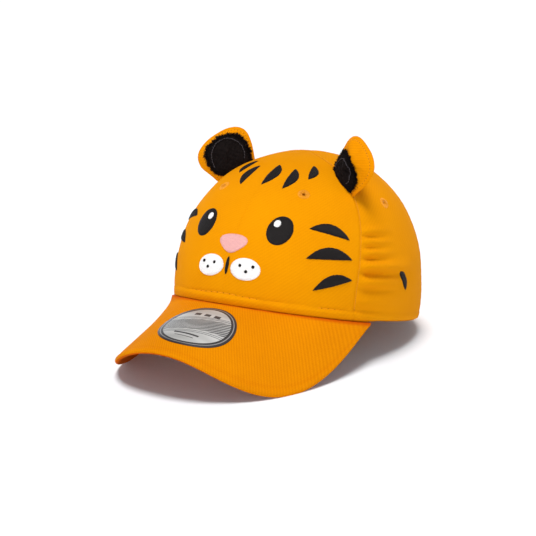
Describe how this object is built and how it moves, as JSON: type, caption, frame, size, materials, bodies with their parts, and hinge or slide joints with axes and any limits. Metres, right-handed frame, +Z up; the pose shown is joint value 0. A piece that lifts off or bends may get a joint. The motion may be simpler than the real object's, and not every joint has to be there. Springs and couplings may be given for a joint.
{
  "type": "baseball cap with ears",
  "caption": "Child's panelled baseball cap with a curved brim, padded ears with plush fronts, an embroidered animal face and stripes, and a strap across the rear arch.",
  "frame": {"origin": "middle of the overall box in plan, on the surface that the cap rests on", "axes": "+Z up, -Y towards the brim's front, +X towards the wearer's left"},
  "size_m": [0.1498, 0.2434, 0.1351],
  "materials": {
    "twill": "matt cotton twill",
    "ear_twill": "matt cotton twill over wadding",
    "brim_twill": "matt cotton twill over a stiff board",
    "strap": "matt cotton twill",
    "band": "matt cotton",
    "plush": "short ragged pile",
    "black_thread": "satin stitch",
    "white_thread": "satin stitch",
    "pink_thread": "satin stitch",
    "orange_thread": "satin stitch",
    "foil": "brushed silver film"
  },
  "bodies": {
    "root": {"panel_front_left": "twill", "eyelet_front_left": "orange_thread", "panel_side_left": "twill", "eyelet_side_left": "orange_thread", "panel_back_left": "twill", "eyelet_back_left": "orange_thread", "ear_left": "ear_twill", "ear_fur_left": "plush", "eye_left": "black_thread", "eye_glint_left": "white_thread", "muzzle_left": "white_thread", "whisker_1_left": "black_thread", "whisker_2_left": "black_thread", "whisker_3_left": "black_thread", "brow_stripe_inner_left": "black_thread", "brow_stripe_outer_left": "black_thread", "cheek_stripe_upper_left": "black_thread", "cheek_stripe_middle_left": "black_thread", "cheek_stripe_lower_left": "black_thread", "side_stripe_left": "black_thread", "panel_front_right": "twill", "eyelet_front_right": "orange_thread", "panel_side_right": "twill", "eyelet_side_right": "orange_thread", "panel_back_right": "twill", "eyelet_back_right": "orange_thread", "ear_right": "ear_twill", "ear_fur_right": "plush", "eye_right": "black_thread", "eye_glint_right": "white_thread", "muzzle_right": "white_thread", "whisker_1_right": "black_thread", "whisker_2_right": "black_thread", "whisker_3_right": "black_thread", "brow_stripe_inner_right": "black_thread", "brow_stripe_outer_right": "black_thread", "cheek_stripe_upper_right": "black_thread", "cheek_stripe_middle_right": "black_thread", "cheek_stripe_lower_right": "black_thread", "side_stripe_right": "black_thread", "nose": "pink_thread", "mouth": "black_thread", "brow_stripe_middle": "black_thread", "brim": "brim_twill", "brim_sticker": "foil", "sweatband": "band", "back_strap": "strap"}
  },
  "joints": []
}
